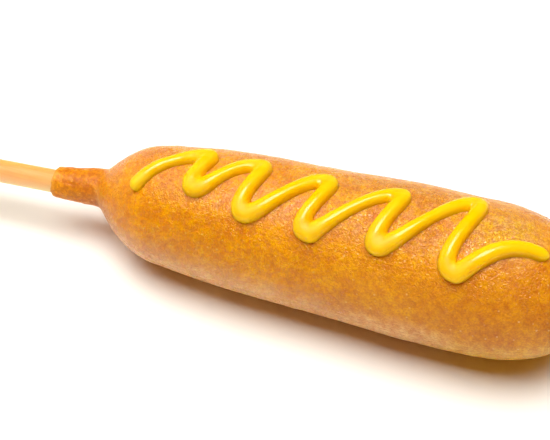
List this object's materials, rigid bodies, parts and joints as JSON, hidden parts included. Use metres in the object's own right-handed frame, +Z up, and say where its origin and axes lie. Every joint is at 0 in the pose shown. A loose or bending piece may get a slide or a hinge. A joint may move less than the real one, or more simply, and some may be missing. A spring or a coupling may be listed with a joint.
{
  "type": "corn dog",
  "caption": "Fried batter-coated sausage lying on its side on a round wooden stick, with a zigzag bead of mustard along the top.",
  "frame": {"origin": "on the table, under the middle of the whole length from the stick's free end to the tip", "axes": "+X from the stick's free end to the rounded tip, +Y away from the side the mustard swings down, +Z up"},
  "size_m": [0.2115, 0.0397, 0.0429],
  "materials": {
    "fried_batter": "golden brown fried cornmeal batter, fine grain, lightly oily",
    "pale_wood": "smooth pale birch dowel, unvarnished",
    "mustard_sauce": "wet glossy yellow mustard"
  },
  "bodies": {
    "root": {"crust": "fried_batter", "stick": "pale_wood", "mustard": "mustard_sauce"}
  },
  "joints": []
}
